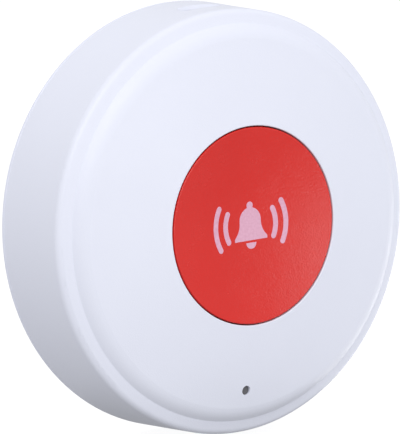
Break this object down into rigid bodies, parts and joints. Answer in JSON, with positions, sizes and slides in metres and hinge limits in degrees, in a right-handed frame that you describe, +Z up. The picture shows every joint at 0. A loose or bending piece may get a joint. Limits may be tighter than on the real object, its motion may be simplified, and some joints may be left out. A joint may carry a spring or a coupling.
{
  "type": "personal emergency alarm",
  "caption": "Round wall-mounted emergency call alarm with a large dished push button, an indicator hole, a cord slot and a bayonet battery door in the back.",
  "frame": {"origin": "centre of the flat back face, which lies against the wall", "axes": "+Z up, -Y out of the wall along the way the button faces, +X to the right as seen from the front"},
  "size_m": [0.064, 0.0172, 0.064],
  "materials": {
    "case_white": "satin moulded plastic with a fine grain",
    "button_red": "satin red moulded plastic",
    "silicone_grey": "soft silicone",
    "screw_steel": "zinc-plated steel",
    "sheet_steel": "nickel-plated sheet",
    "contact_metal": "plated spring strip",
    "black_plastic": "black moulded plastic",
    "board_green": "green solder resist",
    "ceramic_pale": "fired ceramic",
    "lamp_clear": "clear moulded plastic"
  },
  "bodies": {
    "case": {"front_shell": "case_white", "rear_cover": "case_white", "case_seal": "silicone_grey", "case_screws": "screw_steel", "door_seal": "silicone_grey", "return_membrane": "silicone_grey", "switch_body": "black_plastic", "switch_cover": "sheet_steel", "switch_terminals": "contact_metal", "circuit_board": "board_green", "board_screws": "screw_steel", "battery_holder": "black_plastic", "coin_cell": "sheet_steel", "positive_contact": "contact_metal", "negative_contact": "contact_metal", "radio_board": "board_green", "radio_shield": "sheet_steel", "microcontroller": "black_plastic", "chip_antenna": "ceramic_pale", "crystal": "sheet_steel", "chip_parts": "ceramic_pale", "indicator_led": "lamp_clear", "light_pipe": "lamp_clear"},
    "button": {"button_cap": "button_red"},
    "stem": {"switch_stem": "black_plastic"},
    "door": {"battery_door": "case_white"}
  },
  "joints": [
    {"name": "button_press", "type": "slide", "parent": "case", "child": "button", "axis": [0, 1, 0], "range_m": [0, 0.0006], "stiffness_N_per_m": 3000, "springref_m": -0.0003, "deforming": ["return_membrane"]},
    {"name": "stem_press", "type": "slide", "parent": "case", "child": "stem", "axis": [0, 1, 0], "range_m": [0, 0.0006]},
    {"name": "door_turn", "type": "hinge", "parent": "case", "child": "door", "pos_m": [0, 0, 0], "axis": [0, 1, 0], "range_deg": [0, 45]}
  ],
  "couplings": [
    {"joint": "stem_press", "follows": "button_press", "ratio": 1}
  ]
}
